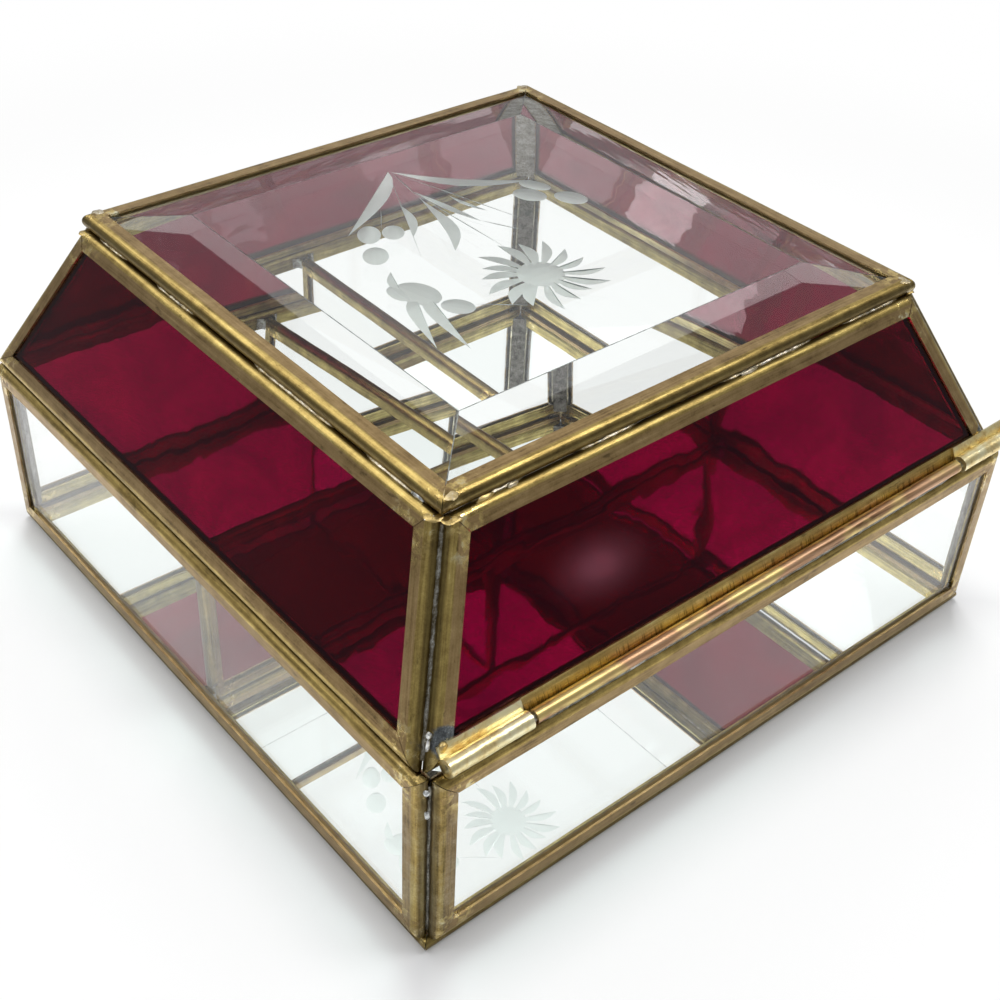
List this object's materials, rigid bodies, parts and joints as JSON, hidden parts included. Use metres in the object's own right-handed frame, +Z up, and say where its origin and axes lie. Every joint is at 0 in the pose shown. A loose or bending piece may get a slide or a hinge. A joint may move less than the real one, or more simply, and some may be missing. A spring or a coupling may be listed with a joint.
{
  "type": "glass casket box",
  "caption": "Square keepsake box of clear panes in soldered brass channel, with a mirrored, divided base and a hinged, sloping ruby-glass lid under a bevelled top.",
  "frame": {"origin": "middle of the box's underside, on the plane that it stands on", "axes": "+Z up; +Y towards the rear, where the hinge runs along X; the front, which lifts, is at -Y; +X to the right seen from the front"},
  "size_m": [0.1525, 0.1525, 0.0806],
  "materials": {
    "clear_glass": "clear window glass, faintly green at its edges",
    "bevelled_glass": "thick clear plate glass, ground and polished bevel, frosted wheel-cut ornament",
    "ruby_glass": "streaky hand-rolled ruby glass, glossy",
    "mirror": "silvered glass, painted back",
    "brass_came": "aged brass channel, brighter where it is handled",
    "hinge_brass": "drawn brass tube, mottled by the torch",
    "solder": "grey tin solder with bright spots",
    "pin_wire": "tinned wire"
  },
  "bodies": {
    "base": {"bottom_mirror": "mirror", "bottom_came": "brass_came", "front_wall_pane": "clear_glass", "front_wall_came": "brass_came", "rear_wall_pane": "clear_glass", "rear_wall_came": "brass_came", "left_wall_pane": "clear_glass", "left_wall_came": "brass_came", "right_wall_pane": "clear_glass", "right_wall_came": "brass_came", "base_corner_solder": "solder", "base_foot_solder": "solder", "cross_divider_pane": "clear_glass", "cross_divider_came": "brass_came", "short_divider_pane": "clear_glass", "short_divider_came": "brass_came", "divider_solder": "solder", "hinge_tube": "hinge_brass", "hinge_solder": "solder"},
    "lid": {"top_pane": "bevelled_glass", "top_came": "brass_came", "front_slope_pane": "ruby_glass", "front_slope_came": "brass_came", "rear_slope_pane": "ruby_glass", "rear_slope_came": "brass_came", "left_slope_pane": "ruby_glass", "left_slope_came": "brass_came", "right_slope_pane": "ruby_glass", "right_slope_came": "brass_came", "lid_corner_solder": "solder", "lid_rim_solder": "solder", "left_knuckle": "hinge_brass", "right_knuckle": "hinge_brass", "knuckle_solder": "solder", "hinge_pin": "pin_wire"}
  },
  "joints": [
    {"name": "lid_hinge", "type": "hinge", "parent": "base", "child": "lid", "pos_m": [-0.0025, 0.0748, 0.0443], "axis": [-1, 0, 0], "range_deg": [0, 180]}
  ]
}
